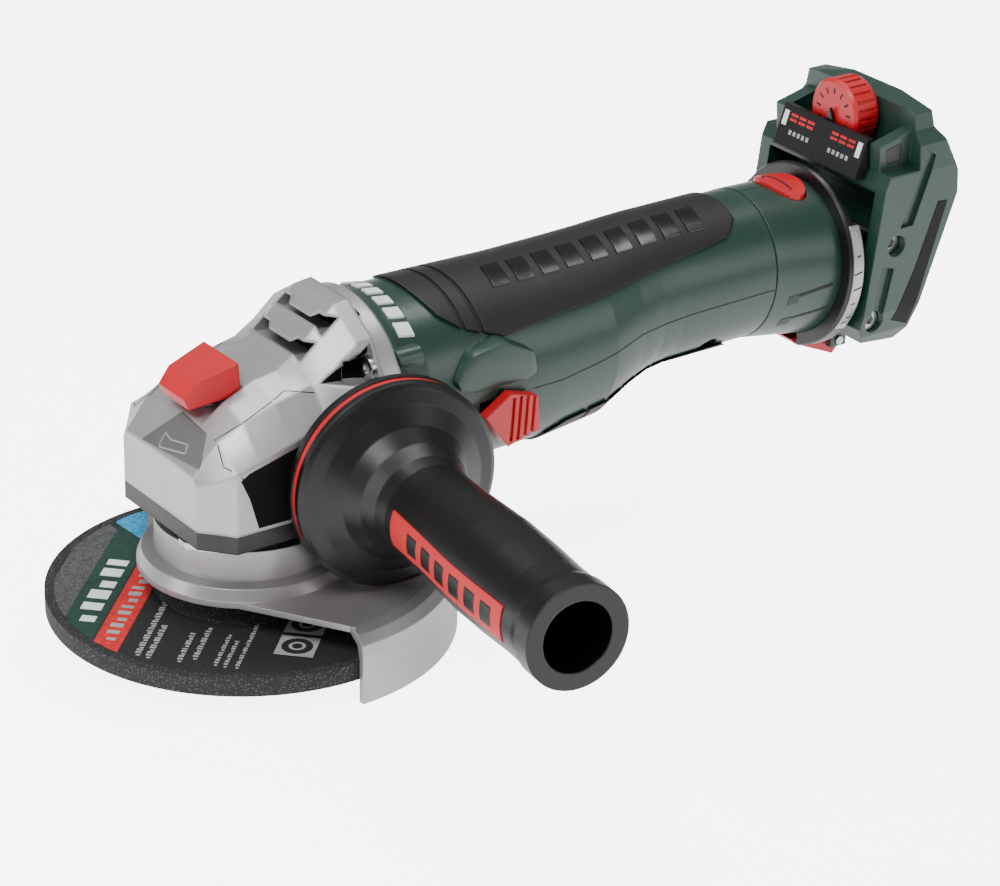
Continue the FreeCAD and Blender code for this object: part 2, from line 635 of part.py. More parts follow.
rail_line = [(229.5, 55), (243.4, 101.5), (259, 101.5), (245, 55)]
rail_room = slab("XZ", rail_line, 60)
void = slab("XZ", [(222, 60), (227.5, 60), (237, 94), (237, 105), (228.5, 105), (223, 100)], 54)
knob_room = box(243.2, 247.7, -6, 6, "dial_z-6", "dial_z+5")
knob_way = rod(3.4, 8, vector(238, 0, "dial_z"), AFT)
BUTTON = Vector(207.5, 0, 92)


def oval(grow, thick, base):
    """Rounded block for the tail release button and, grown a little, for its opening."""
    corners = []
    for k in range(24):
        angle = math.radians(15 * k)
        corners.append(("%.4f" % (base.x + (6.6 + grow) * math.cos(angle)), "%.4f" % ((11 + grow) * math.sin(angle))))
    return slab("XY", corners, thick, base.z + thick / 2.0)


shelf = box(201, 212, -23, 23, 83, 85)
tail = joined(foot, barrel, *wings)
tail = cut(tail, hollow, void, rail_room, knob_room, knob_way, oval(0.4, 20, BUTTON))
tail = joined(tail, shared(shelf, barrel), *pin_lugs)
pin_bore = rod(1.53, 30, Vector(228.2, -15, 43.6), SIDE)
tail = cut(tail, pin_bore)
TAIL_SCREWS = [(232.4, 84), (225.4, 58)]
tail = cut(tail, *[rod(2.03, 36, Vector(x, -26, z), SIDE) for x, z in TAIL_SCREWS])
tail = cut(tail, *[rod(3.7, 12, Vector(x, -36, z), SIDE) for x, z in TAIL_SCREWS])
tail = cut(tail, rod(3.7, 6, Vector(232.4, 30, 84), SIDE))
for sign in (-1, 1):
    panels = [slab("XZ", [(233.5, 90), (239, 90), (247.5, 113), (243.5, 115)], 3, "%d*32" % sign),
              slab("XZ", [(222.5, 56), (227.5, 55.5), (232, 76), (226.5, 78)], 3, "%d*32" % sign)]
    tail = cut(tail, *panels)
left = box(180, 270, -60, 0, 20, 150)
right = box(180, 270, 0, 60, 20, 150)
named(shared(tail, left), "tail_shell_left")
named(shared(tail, right), "tail_shell_right")
group("tail_screws", [screw(2, 34, 3.4, 3, Vector(x, 8, z), SIDE * -1) for x, z in TAIL_SCREWS])

cap = on_tail([(0, 2), (26.5, 2), (27.6, 25.5), (0, 25.5)])
named(shared(oval(0, 20, Vector(BUTTON.x, 0, 97.6)), cap), "swivel_button")
spring("swivel_spring", 3.4, 0.45, 11.4, 6, Vector(BUTTON.x, 0, 85.6))

# ---------------------------------------------------------------- dust filter ring
band_rows = [(26.55, 26.4), (30.6, 26.4), (31.2, 27.4), (31.2, 32), (30.6, 33), (26.55, 33)]
mesh_rows = [(29.8, 27.6), (31.6, 27.6), (31.6, 31.8), (29.8, 31.8)]
frame_ring = on_tail(band_rows)
gate = box(205, 235, -9, 9, 30, 50)
meshes = []
rivets = []
for first in (-125, 55):
    meshes.append(on_tail(mesh_rows, 70, first))
    for angle in (first + 5, first + 65):
        spin = TAIL.multiply(Placement(ORIGIN, Rotation(UP, angle)))
        place = spin.multiply(Placement(Vector(31.6, 0, 29.7), Rotation(SIDE, 90)))
        knob = rod(0.9, 0.5, ORIGIN)
        knob.Placement = place
        rivets.append(knob)
holder = cut(frame_ring, gate, *[on_tail(mesh_rows, 70, first) for first in (-125, 55)])
named(cut(holder, box(218, 240, -40, 40, 48, 150)), "filter_frame")
group("filter_meshes", meshes)
group("filter_rivets", rivets)
latch = slab("XZ", [(209.5, 47), (212, 44.6), (228.6, 37.4), (231.8, 41.4), (231, 45.4), (222, 46.4), (212, 47.2)], 16)
named(cut(latch, rod(1.57, 30, Vector(228.2, -15, 43.6), SIDE)), "filter_latch")
named(turned("filter_latch_pin", [(0, -12), (1.5, -12), (1.5, 12), (0, 12)], Vector(228.2, 0, 43.6), SIDE),
      "filter_latch_pin")

# ---------------------------------------------------------------- speed dial
wheel = spun([(0, 229.2), (10.6, 229.2), ("dial_radius", 230.2), ("dial_radius", 238.4), (10.9, 239.6),
              (3, 239.6), (3, 247), (0, 247)])
wheel.Placement = Placement(vector(0, 0, "dial_z"), Rotation(UP, AFT))
notches = []
for k in range(24):
    spin = Placement(vector(0, 0, "dial_z"), Rotation(UP, AFT)).multiply(Placement(ORIGIN, Rotation(UP, 15 * k)))
    notches.append(brick(2, 0.9, 7, spin.multiply(shift("dial_radius-0.5", -0.45, 231))))
named(cut(wheel, *notches), "speed_dial")
named(cut(box(243.3, 247.6, -5.8, 5.8, "dial_z-5.8", "dial_z+4.8"), rod(3.06, 10, vector(240, 0, "dial_z"), AFT)),
      "dial_potentiometer")
panel = slab("XZ", [(221.5, 106), (226.2, 105.2), (227.8, 109.2), (228.8, 109.2), (228.8, 119), (226.4, 119.4)], 42)
named(panel, "dial_panel")

# ---------------------------------------------------------------- battery interface
rails = slab("XZ", [(229.5, 55), (243.4, 101.5), (257.2, 97), (243, 55)], 60)
channel = slab("XZ", [(236, 50), (251.4, 101), (262, 97.6), (246, 47)], 40)
under_cut = slab("XZ", [(239.4, 50), (254.9, 101), (251.6, 102), (236.1, 51)], 48)
named(cut(rails, channel, under_cut), "battery_rails")
block = slab("XZ", [(238.6, 58.5), (246.3, 84), (251, 82.6), (243.2, 57)], 26)
BLADES = (-9, -3, 3, 9)
blade_slots = [slab("XZ", [(240, 61), (246.5, 82.2), (252, 80), (245, 58)], 2.4, y) for y in BLADES]
named(cut(block, *blade_slots), "terminal_block")
group("terminal_blades", [slab("XZ", [(240.8, 62), (246.6, 81), (250.4, 79.6), (244.6, 61)], 0.8, y)
                          for y in BLADES])

# ---------------------------------------------------------------- export
os.makedirs("parts", exist_ok=True)
doc.recompute()
for thing in doc.Objects:
    if "Invalid" in thing.State or "Error" in thing.State:
        raise RuntimeError("%s: %s" % (thing.Label, thing.State))
for node in nodes:
    if node.Shape.isNull() or not node.Shape.isValid() or not node.Shape.Solids:
        raise RuntimeError("bad shape: " + node.Label)
    node.Shape.exportStep("parts/%s.step" % node.Label)
    print(node.Label, len(node.Shape.Solids), round(node.Shape.Volume / 1000, 2), node.Shape.BoundBox)
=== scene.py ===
import json
import math
import bmesh
import bpy
from mathutils import Matrix, Vector
from mathutils.bvhtree import BVHTree


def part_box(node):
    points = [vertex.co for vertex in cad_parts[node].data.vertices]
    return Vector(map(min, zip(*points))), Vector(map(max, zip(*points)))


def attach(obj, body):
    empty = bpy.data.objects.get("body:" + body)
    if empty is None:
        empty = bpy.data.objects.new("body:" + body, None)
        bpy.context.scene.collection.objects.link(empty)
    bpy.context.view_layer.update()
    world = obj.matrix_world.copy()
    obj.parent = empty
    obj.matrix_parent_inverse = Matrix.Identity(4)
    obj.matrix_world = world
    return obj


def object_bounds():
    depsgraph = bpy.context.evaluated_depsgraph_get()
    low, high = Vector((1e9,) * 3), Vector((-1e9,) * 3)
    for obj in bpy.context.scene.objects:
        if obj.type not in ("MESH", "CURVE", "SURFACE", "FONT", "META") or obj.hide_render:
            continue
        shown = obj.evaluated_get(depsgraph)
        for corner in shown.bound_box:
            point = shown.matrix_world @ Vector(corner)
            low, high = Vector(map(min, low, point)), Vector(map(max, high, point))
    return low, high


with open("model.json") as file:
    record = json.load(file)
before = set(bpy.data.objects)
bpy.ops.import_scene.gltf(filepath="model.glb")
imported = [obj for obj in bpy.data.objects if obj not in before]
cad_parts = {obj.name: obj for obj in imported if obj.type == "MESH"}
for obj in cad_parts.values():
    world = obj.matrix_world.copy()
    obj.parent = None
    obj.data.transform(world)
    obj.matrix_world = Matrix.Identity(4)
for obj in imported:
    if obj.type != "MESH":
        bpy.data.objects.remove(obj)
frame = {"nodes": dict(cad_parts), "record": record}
cad_box = [list(v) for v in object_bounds()]
MM = 0.001

# ---------------------------------------------------------------- materials


def srgb(r, g, b):
    """Linear colour from 0-255 screen values."""
    out = []
    for v in (r, g, b):
        v /= 255.0
        out.append(v / 12.92 if v <= 0.04045 else ((v + 0.055) / 1.055) ** 2.4)
    return tuple(out) + (1.0,)


class Nodes:
    def __init__(self, material, fresh=True):
        self.tree = material.node_tree
        if fresh:
            self.tree.nodes.clear()

    def new(self, kind, **values):
        node = self.tree.nodes.new("ShaderNode" + kind)
        for key, value in values.items():
            setattr(node, key, value)
        return node

    def link(self, a, out, b, into):
        self.tree.links.new(a.outputs[out], b.inputs[into])


def finish(name, colour, rough=0.45, metal=0.0, vary=0.12, scale=60.0, grain=0.15, grain_scale=900.0,
           wear=0.0, wear_colour=None, stretch=(1, 1, 1), coat=0.0, edge=0.0005, specular=0.5):
    """Procedural material: mottled base colour, worn edges, grain in roughness and relief."""
    material = bpy.data.materials.new(name)
    material.use_nodes = True
    material.diffuse_color = colour
    n = Nodes(material)
    out = n.new("OutputMaterial")
    shade = n.new("BsdfPrincipled")
    n.link(shade, "BSDF", out, "Surface")
    place = n.new("TexCoord")
    mapping = n.new("Mapping")
    mapping.inputs["Scale"].default_value = stretch
    n.link(place, "Object", mapping, "Vector")
    broad = n.new("TexNoise")
    broad.inputs["Scale"].default_value = scale
    broad.inputs["Detail"].default_value = 5.0
    broad.inputs["Roughness"].default_value = 0.6
    n.link(mapping, "Vector", broad, "Vector")
    fine = n.new("TexNoise")
    fine.inputs["Scale"].default_value = grain_scale
    fine.inputs["Detail"].default_value = 3.0
    n.link(mapping, "Vector", fine, "Vector")
    ramp = n.new("ValToRGB")
    ramp.color_ramp.elements[0].position = 0.3
    ramp.color_ramp.elements[1].position = 0.7
    low = tuple(c * (1 - vary) for c in colour[:3]) + (1,)
    high = tuple(min(1, c * (1 + vary)) for c in colour[:3]) + (1,)
    ramp.color_ramp.elements[0].color = low
    ramp.color_ramp.elements[1].color = high
    n.link(broad, "Fac", ramp, "Fac")
    top = ramp
    socket = "Color"
    if wear > 0:
        geometry = n.new("NewGeometry")
        sharp = n.new("MapRange")
        sharp.inputs["From Min"].default_value = 0.52
        sharp.inputs["From Max"].default_value = 0.62
        sharp.inputs["To Max"].default_value = wear
        n.link(geometry, "Pointiness", sharp, "Value")
        broken = n.new("Math", operation="MULTIPLY")
        n.link(sharp, "Result", broken, 0)
        n.link(broad, "Fac", broken, 1)
        mix = n.new("Mix", data_type="RGBA")
        mix.inputs[7].default_value = wear_colour or (0.6, 0.6, 0.6, 1)
        n.tree.links.new(broken.outputs[0], mix.inputs[0])
        n.tree.links.new(top.outputs[socket], mix.inputs[6])
        n.tree.links.new(mix.outputs[2], shade.inputs["Base Color"])
    else:
        n.link(top, socket, shade, "Base Color")
    rough_range = n.new("MapRange")
    rough_range.inputs["To Min"].default_value = max(0.02, rough - 0.09)
    rough_range.inputs["To Max"].default_value = min(1.0, rough + 0.09)
    n.link(fine, "Fac", rough_range, "Value")
    n.link(rough_range, "Result", shade, "Roughness")
    rounding = n.new("Bevel")
    rounding.samples = 4
    rounding.inputs["Radius"].default_value = edge
    bump = n.new("Bump")
    bump.inputs["Strength"].default_value = grain
    bump.inputs["Distance"].default_value = 0.00012
    n.link(fine, "Fac", bump, "Height")
    n.link(rounding, "Normal", bump, "Normal")
    n.link(bump, "Normal", shade, "Normal")
    shade.inputs["Metallic"].default_value = metal
    shade.inputs["Specular IOR Level"].default_value = specular
    shade.inputs["Coat Weight"].default_value = coat
    shade.inputs["Coat Roughness"].default_value = 0.25
    return material


def abrasive(name, colour, fleck, speck_scale=1300.0):
    """Resin-bonded grit: dark binder with lighter grains standing out of it."""
    material = finish(name, colour, rough=0.82, vary=0.35, scale=420.0, grain=0.9, grain_scale=2600.0, edge=0.0003)
    n = material.node_tree
    shade = next(x for x in n.nodes if x.type == "BSDF_PRINCIPLED")
    base = shade.inputs["Base Color"].links[0].from_socket
    coord = next(x for x in n.nodes if x.type == "TEX_COORD")
    cells = n.nodes.new("ShaderNodeTexVoronoi")
    cells.inputs["Scale"].default_value = speck_scale
    n.links.new(coord.outputs["Object"], cells.inputs["Vector"])
    pick = n.nodes.new("ShaderNodeValToRGB")
    pick.color_ramp.elements[0].position = 0.1
    pick.color_ramp.elements[0].color = (1, 1, 1, 1)
    pick.color_ramp.elements[1].position = 0.34
    pick.color_ramp.elements[1].color = (0, 0, 0, 1)
    n.links.new(cells.outputs["Distance"], pick.inputs["Fac"])
    mix = n.nodes.new("ShaderNodeMix")
    mix.data_type = "RGBA"
    mix.inputs[7].default_value = fleck
    n.links.new(pick.outputs["Color"], mix.inputs[0])
    n.links.new(base, mix.inputs[6])
    n.links.new(mix.outputs[2], shade.inputs["Base Color"])
    return material


CAST = finish("cast_silver", srgb(168, 167, 170), rough=0.36, metal=0.6, vary=0.05, scale=45, grain=0.35,
              grain_scale=1500, wear=0.3, wear_colour=srgb(215, 215, 218), edge=0.0016)
# Darker grey copy of the casting: painted shade for the recessed inset on the front of the head.
CAST_INSET_PAINTED_SHADE = finish("cast_inset_painted_shade", srgb(104, 103, 105), rough=0.45, metal=0.5, grain=0.35, grain_scale=1500,
                    edge=0.0008)
# Near-black copy of the casting: painted shade for pockets, vent openings and screw recesses that are not cut into the
# model.
CAST_RECESS_PAINTED_SHADE = finish("cast_recess_painted_shade", srgb(4, 4, 5), rough=0.7, specular=0.15, grain=0.4, grain_scale=1500, edge=0.0006)
COVER = finish("cover_coat", srgb(20, 19, 21), rough=0.4, metal=0.3, grain=0.4, grain_scale=1400,
               wear=0.2, wear_colour=srgb(100, 100, 105), edge=0.0007)
GUARD = finish("guard_zinc", srgb(158, 155, 156), rough=0.36, metal=0.7, vary=0.06, scale=28, grain=0.12,
               grain_scale=1200, wear=0.25, wear_colour=srgb(225, 225, 228), edge=0.0006)
STEEL = finish("turned_steel", srgb(190, 190, 194), rough=0.28, metal=1.0, vary=0.08, scale=80, grain=0.15,
               grain_scale=700, stretch=(1, 1, 12), edge=0.0004)
IRON = finish("laminated_iron", srgb(92, 94, 100), rough=0.5, metal=0.9, vary=0.12, grain=0.4, grain_scale=900,
              stretch=(14, 1, 1), edge=0.0003)
COPPER = finish("copper_wire", srgb(190, 112, 60), rough=0.35, metal=1.0, vary=0.15, grain=0.6, grain_scale=1600,
                edge=0.0003)
GREEN = finish("green_shell", srgb(22, 52, 43), rough=0.33, vary=0.05, scale=50, grain=0.22, grain_scale=2200,
               wear=0.1, wear_colour=srgb(90, 120, 108), coat=0.1, edge=0.0007)
# Darker copy of the green shell: painted shade for the small insets at the tail slots.
GREEN_RECESS_PAINTED_SHADE = finish("green_recess_painted_shade", srgb(10, 34, 27), rough=0.5, vary=0.05, grain=0.3, grain_scale=2200)
BLACK = finish("black_shell", srgb(8, 8, 9), rough=0.33, vary=0.1, grain=0.25, grain_scale=2000,
               wear=0.08, wear_colour=srgb(60, 60, 62), edge=0.0006)
GLOSS = finish("pad_gloss", srgb(3, 3, 4), rough=0.22, grain=0.1, grain_scale=2000, edge=0.0004)
FOOT_BLACK = finish("foot_strip_black", srgb(5, 5, 6), rough=0.6, grain=0.3, grain_scale=2000, specular=0.25)
RUBBER = finish("soft_rubber", srgb(20, 20, 21), rough=0.52, specular=0.4, vary=0.1, scale=90, grain=0.5, grain_scale=3000,
                wear=0.06, wear_colour=srgb(60, 60, 62), edge=0.0008)
GRIP = finish("handle_rubber", srgb(3, 3, 4), rough=0.36, specular=0.42, vary=0.1, scale=70, grain=0.25, grain_scale=2600,
              wear=0.05, wear_colour=srgb(50, 50, 52), edge=0.0009)
RED = finish("red_control", srgb(186, 10, 24), rough=0.38, vary=0.06, grain=0.2, grain_scale=2000,
             wear=0.12, wear_colour=srgb(226, 90, 88), edge=0.0006)
RED_SOFT = finish("red_rubber", srgb(186, 18, 22), rough=0.5, vary=0.06, grain=0.3, grain_scale=2400, edge=0.0004)
GROOVE = finish("groove_black", srgb(4, 5, 5), rough=0.7, grain=0.2, edge=0.0001)
DISC = abrasive("disc_grit", srgb(26, 26, 28), srgb(96, 96, 100))
PAPER = abrasive("label_dark", srgb(18, 22, 22), srgb(44, 48, 48), 2400)
PAPER_GREY = abrasive("label_grey", srgb(62, 63, 65), srgb(122, 124, 126), 1500)
PAPER_GREEN = abrasive("label_green", srgb(10, 50, 42), srgb(18, 70, 60), 2600)
PAPER_RED = abrasive("label_red", srgb(190, 22, 24), srgb(214, 60, 56), 2600)
PAPER_CYAN = abrasive("label_cyan", srgb(8, 132, 176), srgb(120, 200, 220), 1400)
PRINT = finish("print_white", srgb(222, 224, 224), rough=0.6, vary=0.12, scale=500, grain=0.3, edge=0.0001)
PRINT_GREY = finish("print_grey", srgb(150, 152, 150), rough=0.6, vary=0.2, scale=700, grain=0.3, edge=0.0001)

BY_SLOT = {
    "cast_silver": CAST, "cover_dark": COVER, "steel": STEEL, "guard_steel": GUARD, "iron": IRON, "copper": COPPER,
    "abrasive": DISC, "red_plastic": RED, "red_rubber": RED_SOFT, "black_rubber": RUBBER, "black_plastic": BLACK,
    "green_plastic": GREEN,
}
slot_of = {item["node"]: item["material_slot"] for item in frame["record"]["subparts"]}
SPECIAL = {"handle_grip": GRIP, "handle_back_plate": GRIP, "filter_frame": BLACK, "wheel_guard": GUARD}
SMOOTH = math.radians(32)
for name, obj in frame["nodes"].items():
    material = SPECIAL.get(name) or BY_SLOT[slot_of[name]]
    obj.data.materials.clear()
    obj.data.materials.append(material)
    obj.data.shade_smooth()
    obj.data.set_sharp_from_angle(angle=SMOOTH)

# ---------------------------------------------------------------- building helpers


def piece(name, bm, material, body, smooth=True):
    mesh = bpy.data.meshes.new(name)
    bmesh.ops.recalc_face_normals(bm, faces=bm.faces)
    bm.to_mesh(mesh)
    bm.free()
    obj = bpy.data.objects.new(name, mesh)
    bpy.context.scene.collection.objects.link(obj)
    mesh.materials.append(material)
    if smooth:
        mesh.shade_smooth()
        mesh.set_sharp_from_angle(angle=SMOOTH)
    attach(obj, body)
    return obj


trees = {}


def tree(node):
    if node not in trees:
        mesh = frame["nodes"][node].data
        trees[node] = BVHTree.FromPolygons([v.co[:] for v in mesh.vertices], [p.vertices[:] for p in mesh.polygons])
    return trees[node]


def hit(nodes, point, direction):
    """First point of the nodes' surface met from a start point, with its normal facing back."""
    best = None
    for node in nodes:
        spot, normal, index, distance = tree(node).ray_cast(point, direction)
        if spot is not None and (best is None or distance < best[2]):
            best = (spot, normal, distance)
    if best is None:
        return None
    spot, normal, distance = best
    return spot, (-normal if normal.dot(direction) > 0 else normal)


def spread(points, step):
    """Closed or open line with extra points, no further apart than the step."""
    out = []
    for a, b in zip(points, points[1:]):
        count = max(1, int((b - a).length / step))
        out += [a.lerp(b, k / count) for k in range(count)]
    return out + [points[-1]]


def line_on(name, nodes, points, direction, width, material, body, closed=False, lift=0.00004):
    """Fine line laid on a surface, as a parting line or a printed stroke: a flat ribbon with thickness."""
    direction = Vector(direction).normalized()
    corners = [Vector(p) * MM for p in points]
    if closed:
        corners.append(corners[0])
    spots = []
    for p in spread(corners, 0.0015):
        found = hit(nodes, p - direction * 0.2, direction)
        if found:
            spots.append(found)
    bm = bmesh.new()
    rows = []
    for i, (spot, normal) in enumerate(spots):
        along = spots[min(i + 1, len(spots) - 1)][0] - spots[max(i - 1, 0)][0]
        side = along.cross(normal).normalized() * width * MM / 2
        top = spot + normal * lift
        deep = spot - normal * 0.0004
        rows.append([bm.verts.new(top + side), bm.verts.new(top - side), bm.verts.new(deep - side),
                     bm.verts.new(deep + side)])
    for a, b in zip(rows, rows[1:]):
        for k in range(4):
            bm.faces.new((a[k], a[(k + 1) % 4], b[(k + 1) % 4], b[k]))
    if rows:
        bm.faces.new(rows[0])
        bm.faces.new(rows[-1])
    return piece(name, bm, material, body)


def patch_on(name, nodes, outline, direction, material, body, lift=0.15, cell=1.6):
    """Area of another finish laid on a surface: outline in mm, cast along a direction, given thickness."""
    direction = Vector(direction).normalized()
    corners = [Vector(p) * MM for p in outline]
    bm = bmesh.new()
    verts = [bm.verts.new(p) for p in corners]
    bm.faces.new(verts)
    bmesh.ops.triangulate(bm, faces=bm.faces[:])
    for _ in range(6):
        long_edges = [e for e in bm.edges if e.calc_length() > cell * MM]
        if not long_edges:
            break
        bmesh.ops.subdivide_edges(bm, edges=long_edges, cuts=1)
        bmesh.ops.triangulate(bm, faces=bm.faces[:])
    lost = []
    normals = {}
    for v in bm.verts:
        found = hit(nodes, v.co - direction * 0.2, direction)
        if found is None:
            lost.append(v)
        else:
            v.co = found[0] + found[1] * lift * MM
            normals[v] = found[1]
    bmesh.ops.delete(bm, geom=lost, context="VERTS")
    bmesh.ops.recalc_face_normals(bm, faces=bm.faces[:])
    ring = bmesh.ops.extrude_face_region(bm, geom=bm.faces[:])
    for v in ring["geom"]:
        if isinstance(v, bmesh.types.BMVert):
            v.co = v.co + direction * (lift + 0.25) * MM
    return piece(name, bm, material, body)


def prism(name, outline, low, high, material, body, place=Matrix(), bevel=0.25):
    """Outline in mm in a plane, thick from low to high along its normal, with softened edges."""
    bm = bmesh.new()
    base = [bm.verts.new(Vector((x, y, low)) * MM) for x, y in outline]
    face = bm.faces.new(base)
    out = bmesh.ops.extrude_face_region(bm, geom=[face])
    for v in out["geom"]:
        if isinstance(v, bmesh.types.BMVert):
            v.co.z = high * MM
    if bevel:
        bmesh.ops.bevel(bm, geom=bm.edges[:], offset=bevel * MM, segments=2, affect="EDGES", profile=0.6)
    bm.transform(place)
    return piece(name, bm, material, body)


def lathe(name, rows, material, body, place=Matrix(), segments=96, first=0.0, last=360.0):
    """Closed outline of (radius, height) in mm revolved about Z."""
    bm = bmesh.new()
    whole = last - first >= 360.0
    count = segments if whole else segments + 1
    rings = []
    for k in range(count):
        angle = math.radians(first + (last - first) * k / segments)
        rings.append([bm.verts.new(Vector((r * math.cos(angle), r * math.sin(angle), h)) * MM) for r, h in rows])
    pairs = list(zip(rings, rings[1:] + (rings[:1] if whole else [])))
    for a, b in pairs:
        for k in range(len(rows)):
            j = (k + 1) % len(rows)
            bm.faces.new((a[k], a[j], b[j], b[k]))
    if not whole:
        bm.faces.new(rings[0])
        bm.faces.new(rings[-1])
    bmesh.ops.remove_doubles(bm, verts=bm.verts[:], dist=1e-7)
    bm.transform(place)
    return piece(name, bm, material, body)


def frame_at(origin, normal, upward=(0, 0, 1)):
    """Matrix whose Z is the normal and whose Y is nearest to the upward direction; origin in mm."""
    z = Vector(normal).normalized()
    x = Vector(upward).cross(z).normalized()
    y = z.cross(x)
    rows = Matrix((x, y, z)).transposed().to_4x4()
    return Matrix.Translation(Vector(origin) * MM) @ rows


# ---------------------------------------------------------------- floor, light and camera
FLOOR_GLOW = 1.1
FLOOR_SEEN = 5.5
SKY_LIGHT = 0.33
bm = bmesh.new()
bmesh.ops.create_grid(bm, x_segments=1, y_segments=1, size=6.0)
floor_mesh = bpy.data.meshes.new("floor")
bm.to_mesh(floor_mesh)
bm.free()
floor = bpy.data.objects.new("floor", floor_mesh)
floor.location.z = cad_box[0][2] - 0.0002
bpy.context.scene.collection.objects.link(floor)
floor_paint = finish("studio_floor", (0.9, 0.9, 0.9, 1), rough=0.8, vary=0.01, grain=0.02, edge=0.0001)
floor_shade = next(x for x in floor_paint.node_tree.nodes if x.type == "BSDF_PRINCIPLED")
floor_shade.inputs["Emission Color"].default_value = (1, 1, 1, 1)
floor_nodes = Nodes(floor_paint, fresh=False)
seen = floor_nodes.new("LightPath")
glow = floor_nodes.new("MapRange")
glow.inputs["To Min"].default_value = FLOOR_GLOW
glow.inputs["To Max"].default_value = FLOOR_SEEN
floor_nodes.link(seen, "Is Camera Ray", glow, "Value")
floor_nodes.link(glow, "Result", floor_shade, "Emission Strength")
floor_mesh.materials.append(floor_paint)

world = bpy.data.worlds.new("studio")
bpy.context.scene.world = world
world.use_nodes = True
world.node_tree.nodes["Background"].inputs["Color"].default_value = (1, 1, 1, 1)
sky = Nodes(world, fresh=False)
sky_seen = sky.new("LightPath")
sky_glow = sky.new("MapRange")
sky_glow.inputs["To Min"].default_value = SKY_LIGHT
sky_glow.inputs["To Max"].default_value = FLOOR_SEEN
sky.link(sky_seen, "Is Camera Ray", sky_glow, "Value")
sky.link(sky_glow, "Result", world.node_tree.nodes["Background"], "Strength")


def lamp(name, place, aim, size, watts, colour=(1, 1, 1)):
    data = bpy.data.lights.new(name, "AREA")
    data.shape = "RECTANGLE"
    data.size = size[0]
    data.size_y = size[1]
    data.energy = watts
    data.color = colour
    obj = bpy.data.objects.new(name, data)
    bpy.context.scene.collection.objects.link(obj)
    obj.location = place
    obj.rotation_euler = (Vector(aim) - Vector(place)).to_track_quat("-Z", "Y").to_euler()
    return obj


lamp("key_softbox", (-0.5, -0.35, 1.1), (0.08, 0, 0.05), (0.7, 0.5), 12)
lamp("left_strip", (-0.9, 0.2, 0.5), (0.05, 0, 0.06), (0.25, 0.9), 4.5)
lamp("top_strip", (0.25, 0.25, 1.0), (0.12, 0, 0.07), (1.0, 0.22), 7)
lamp("right_fill", (0.7, -0.9, 0.5), (0.15, 0, 0.07), (0.35, 0.5), 2)

azimuth, elevation, roll = math.radians(-35.96), math.radians(25.32), math.radians(1.29)
back = Vector((math.sin(azimuth) * math.cos(elevation), -math.cos(azimuth) * math.cos(elevation),
               math.sin(elevation)))
right = Vector((math.cos(azimuth), math.sin(azimuth), 0))
up = back.cross(right)
tilted_right = right * math.cos(roll) + up * math.sin(roll)
tilted_up = up * math.cos(roll) - right * math.sin(roll)
camera_data = bpy.data.cameras.new("camera")
camera_data.lens = 126.0
camera_data.sensor_width = 36.0
camera_data.sensor_fit = "HORIZONTAL"
camera_data.clip_end = 20.0
camera = bpy.data.objects.new("camera", camera_data)
bpy.context.scene.collection.objects.link(camera)
turn = Matrix((tilted_right, tilted_up, back)).transposed().to_4x4()
camera.matrix_world = Matrix.Translation(Vector((0.09575, 0, 0.03459)) + back * 1.12721) @ turn
bpy.context.scene.camera = camera

# ---------------------------------------------------------------- printed label on the disc
ROOT2 = math.sqrt(2)
DISC_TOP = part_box("grinding_disc")[0][2] / MM + 6.0
LABEL_R = 59.5


def on_disc(u, v):
    """Point of the label: u along the printed lines, v across them."""
    return ((u - v) / ROOT2, (u + v) / ROOT2)


def band(name, v0, v1, left, right, low, high, material):
    """Strip of the label between two lines, ended by the label's round edge or by a straight cut."""
    steps = 14
    edge = []
    other = []
    for k in range(steps + 1):
        v = v0 + (v1 - v0) * k / steps
        reach = math.sqrt(LABEL_R ** 2 - v * v)
        edge.append(on_disc(max(-reach, left(v)), v))
        other.append(on_disc(min(reach, right(v)), v))
    outline = edge + other[::-1]
    return prism(name, outline, low, high, material, "disc_drive", bevel=0)


def left_free(v):
    return -1e3


def right_free(v):
    return 1e3


def cyan_cut(v):
    return 18.4 + (v - 36.8) * 0.89


lathe("disc_label_ring", [(29.4, DISC_TOP), (LABEL_R, DISC_TOP), (LABEL_R, DISC_TOP + 0.05),
                          (29.4, DISC_TOP + 0.05)], PAPER, "disc_drive")
band("disc_label_grey", 48.4, 58.6, left_free, lambda v: cyan_cut(v) - 3, DISC_TOP + 0.05, DISC_TOP + 0.08, PAPER_GREY)
band("disc_label_green", 36.4, 48.3, left_free, cyan_cut, DISC_TOP + 0.05, DISC_TOP + 0.09, PAPER_GREEN)
band("disc_label_cyan", 37.0, 50.2, cyan_cut, right_free, DISC_TOP + 0.05, DISC_TOP + 0.09, PAPER_CYAN)
band("disc_label_red", 27.2, 36.0, left_free, lambda v: 12.0, DISC_TOP + 0.05, DISC_TOP + 0.09, PAPER_RED)


def strokes(name, v, height, start, stop, count, material, fill=0.62):
    """Row of plain upright blocks standing in for a printed line."""
    bm = bmesh.new()
    pitch = (stop - start) / count
    for k in range(count):
        share = fill * (0.8 + 0.4 * ((k * 7) % 5) / 4.0)
        a, b = start + pitch * k, start + pitch * (k + share)
        tall = height * (1.0 if k % 3 else 0.72)
        corners = [on_disc(a, v - height / 2), on_disc(b, v - height / 2), on_disc(b, v - height / 2 + tall),
                   on_disc(a, v - height / 2 + tall)]
        low = [bm.verts.new(Vector((x, y, DISC_TOP + 0.06)) * MM) for x, y in corners]
        high = [bm.verts.new(Vector((x, y, DISC_TOP + 0.13)) * MM) for x, y in corners]
        bm.faces.new(low[::-1])
        bm.faces.new(high)
        for i in range(4):
            j = (i + 1) % 4
            bm.faces.new((low[i], low[j], high[j], high[i]))
    return piece(name, bm, material, "disc_drive", smooth=False)


